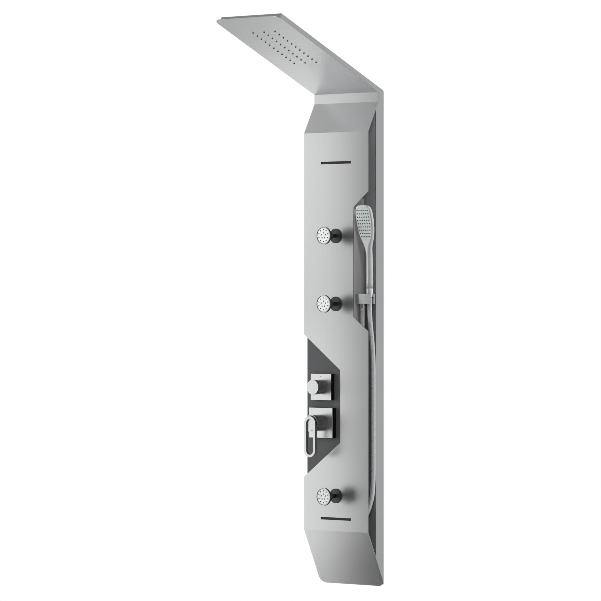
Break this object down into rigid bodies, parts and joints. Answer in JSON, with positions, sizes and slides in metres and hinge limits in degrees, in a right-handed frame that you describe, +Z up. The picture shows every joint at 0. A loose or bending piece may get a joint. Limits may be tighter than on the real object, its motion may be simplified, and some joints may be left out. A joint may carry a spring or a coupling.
{
  "type": "shower panel column",
  "caption": "Wall-hung shower column with a slanted rain head, swivelling body jets, a diverter, a lever mixer and a handset on a hose in a side niche.",
  "frame": {"origin": "foot of the rear tray, in the wall's plane, on the column's centreline", "axes": "+Y into the wall, +Z up the column, +X to the right as seen from the front"},
  "size_m": [0.2542, 0.4981, 1.6521],
  "materials": {
    "brushed_steel": "fine brushed, satin",
    "tray_steel": "fine brushed, satin",
    "dark_cover": "matt dark grey paint",
    "grey_paint": "matt grey paint",
    "dark_panel": "fine satin, dark grey",
    "black_plastic": "matt black",
    "chrome": "satin",
    "zinc_plate": "dull zinc plate",
    "brass": "machined",
    "copper": "drawn tube",
    "white_plastic": "moulded, white",
    "jet_face_white": "moulded, pale grey",
    "nozzle_rubber": "soft, grey",
    "silver_plastic": "satin silver",
    "face_plastic": "satin, pale grey green",
    "hose_silver": "smooth silver skin",
    "seal_rubber": "black"
  },
  "bodies": {
    "root": {"rear_tray": "tray_steel", "side_rails": "dark_cover", "core_cover": "dark_cover", "core_screws": "dark_cover", "front_panel": "brushed_steel", "sheet_brackets": "dark_cover", "slot_inserts": "black_plastic", "niche_liner": "grey_paint", "control_housing": "dark_panel", "head_spacers": "zinc_plate", "rain_chamber": "white_plastic", "rain_nozzles": "nozzle_rubber", "riser_pipe": "copper", "riser_elbow": "brass", "head_pipe": "copper", "jet_pipe": "copper", "handset_pipe": "copper", "pipe_nuts": "brass", "valve_body": "brass", "inlet_nipples": "zinc_plate", "check_valves": "white_plastic", "mixer_cartridge": "white_plastic", "mixer_nut": "brass", "mixer_plate": "chrome", "diverter_cartridge": "white_plastic", "diverter_nut": "brass", "diverter_plate": "chrome", "index_mark": "dark_panel", "jet_nipples": "chrome", "jet_backnuts": "brass", "handset_bracket": "chrome", "bracket_arm": "zinc_plate", "outlet_nut": "chrome", "shower_hose": "hose_silver"},
    "diverter": {"diverter_stem": "zinc_plate", "diverter_knob": "chrome", "knob_grub_screw": "zinc_plate"},
    "mixer": {"mixer_spindle": "zinc_plate", "mixer_skirt": "chrome", "lever_pin": "zinc_plate"},
    "lever": {"mixer_lever": "chrome", "lever_screw": "black_plastic"},
    "hose_end": {"hose_cone_nut": "chrome", "hose_washer": "seal_rubber"},
    "handset": {"handset_collar": "silver_plastic", "handset_body": "silver_plastic", "handset_face": "face_plastic", "handset_nozzles": "nozzle_rubber"},
    "upper_swivel": {"upper_jet_seat": "white_plastic"},
    "upper_jet": {"upper_jet_head": "chrome", "upper_jet_face": "jet_face_white"},
    "middle_swivel": {"middle_jet_seat": "white_plastic"},
    "middle_jet": {"middle_jet_head": "chrome", "middle_jet_face": "jet_face_white"},
    "lower_swivel": {"lower_jet_seat": "white_plastic"},
    "lower_jet": {"lower_jet_head": "chrome", "lower_jet_face": "jet_face_white"}
  },
  "joints": [
    {"name": "upper_jet_yaw", "type": "hinge", "parent": "root", "child": "upper_swivel", "pos_m": [0, -0.1214, 1.0236], "axis": [0, 0, 1], "range_deg": [-12, 12]},
    {"name": "upper_jet_pitch", "type": "hinge", "parent": "upper_swivel", "child": "upper_jet", "pos_m": [0, -0.1214, 1.0236], "axis": [1, 0, 0], "range_deg": [-12, 12]},
    {"name": "middle_jet_yaw", "type": "hinge", "parent": "root", "child": "middle_swivel", "pos_m": [0, -0.1214, 0.8239], "axis": [0, 0, 1], "range_deg": [-12, 12]},
    {"name": "middle_jet_pitch", "type": "hinge", "parent": "middle_swivel", "child": "middle_jet", "pos_m": [0, -0.1214, 0.8239], "axis": [1, 0, 0], "range_deg": [-12, 12]},
    {"name": "lower_jet_yaw", "type": "hinge", "parent": "root", "child": "lower_swivel", "pos_m": [0, -0.1214, 0.2597], "axis": [0, 0, 1], "range_deg": [-12, 12]},
    {"name": "lower_jet_pitch", "type": "hinge", "parent": "lower_swivel", "child": "lower_jet", "pos_m": [0, -0.1214, 0.2597], "axis": [1, 0, 0], "range_deg": [-12, 12]},
    {"name": "diverter_turn", "type": "hinge", "parent": "root", "child": "diverter", "pos_m": [-0.053, -0.1, 0.579], "axis": [0, 1, 0], "range_deg": [-90, 90]},
    {"name": "mixer_turn", "type": "hinge", "parent": "root", "child": "mixer", "pos_m": [-0.053, -0.1, 0.4735], "axis": [0, 1, 0], "range_deg": [-45, 45]},
    {"name": "mixer_lift", "type": "hinge", "parent": "mixer", "child": "lever", "pos_m": [-0.053, -0.134, 0.4735], "axis": [-1, 0, 0], "range_deg": [0, 22]},
    {"name": "handset_lift", "type": "slide", "parent": "root", "child": "hose_end", "axis": [0, 0, 1], "range_m": [0, 0.01], "deforming": ["shower_hose"]},
    {"name": "handset_twist", "type": "hinge", "parent": "hose_end", "child": "handset", "pos_m": [0.104, -0.057, 0.853], "axis": [0, 0, 1], "range_deg": [0, 60]}
  ]
}
